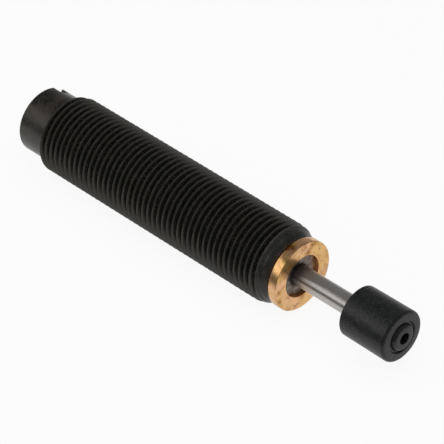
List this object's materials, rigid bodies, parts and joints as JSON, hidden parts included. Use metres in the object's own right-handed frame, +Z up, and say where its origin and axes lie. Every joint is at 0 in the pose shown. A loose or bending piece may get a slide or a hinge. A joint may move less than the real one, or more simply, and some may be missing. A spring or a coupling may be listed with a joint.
{
  "type": "industrial shock absorber",
  "caption": "Threaded miniature hydraulic shock absorber: a spring-returned rod with an impact cap damps the last stretch of a stroke and stops on a bronze ring.",
  "frame": {"origin": "on the long axis, half way along the body thread", "axes": "+X along the rod towards the impact cap, +Z up with the part lying level"},
  "size_m": [0.0707, 0.012, 0.012],
  "materials": {
    "black_oxide_steel": "black oxide, lightly oiled",
    "bronze": "fine turned",
    "rod_steel": "ground and polished",
    "cap_polymer": "moulded matte",
    "retainer_steel": "dull stamped",
    "inner_steel": "turned",
    "tube_steel": "honed",
    "seal_rubber": "oiled",
    "ptfe": "smooth",
    "foam": "closed-cell foam",
    "spring_steel": "drawn wire"
  },
  "bodies": {
    "barrel": {"outer_body": "black_oxide_steel", "stop_ring": "bronze", "seal_retainer": "retainer_steel", "rod_wiper": "seal_rubber", "rod_seal": "seal_rubber", "backup_ring": "ptfe", "bearing_housing": "inner_steel", "rod_bearing": "bronze", "housing_o_ring": "seal_rubber", "accumulator_foam": "foam", "rebound_bumper": "seal_rubber", "pressure_tube": "tube_steel", "tube_end_plug": "inner_steel", "plug_o_ring": "seal_rubber", "rear_spring_seat": "inner_steel", "return_spring": "spring_steel"},
    "spring_carriage": {"front_spring_seat": "inner_steel"},
    "rod": {"piston_nut": "inner_steel", "valve_plate": "inner_steel", "piston": "inner_steel", "piston_rod": "rod_steel", "impact_cap": "cap_polymer"},
    "check_valve": {"check_ring": "bronze"}
  },
  "joints": [
    {"name": "rod_slide", "type": "slide", "parent": "barrel", "child": "spring_carriage", "axis": [-1, 0, 0], "range_m": [0, 0.01025], "stiffness_N_per_m": 700, "springref_m": -0.006, "deforming": ["return_spring"]},
    {"name": "rod_spin", "type": "hinge", "parent": "spring_carriage", "child": "rod", "pos_m": [0, 0, 0], "axis": [1, 0, 0], "continuous": true},
    {"name": "check_ring_float", "type": "slide", "parent": "rod", "child": "check_valve", "axis": [-1, 0, 0], "range_m": [0, 0.00028]}
  ]
}
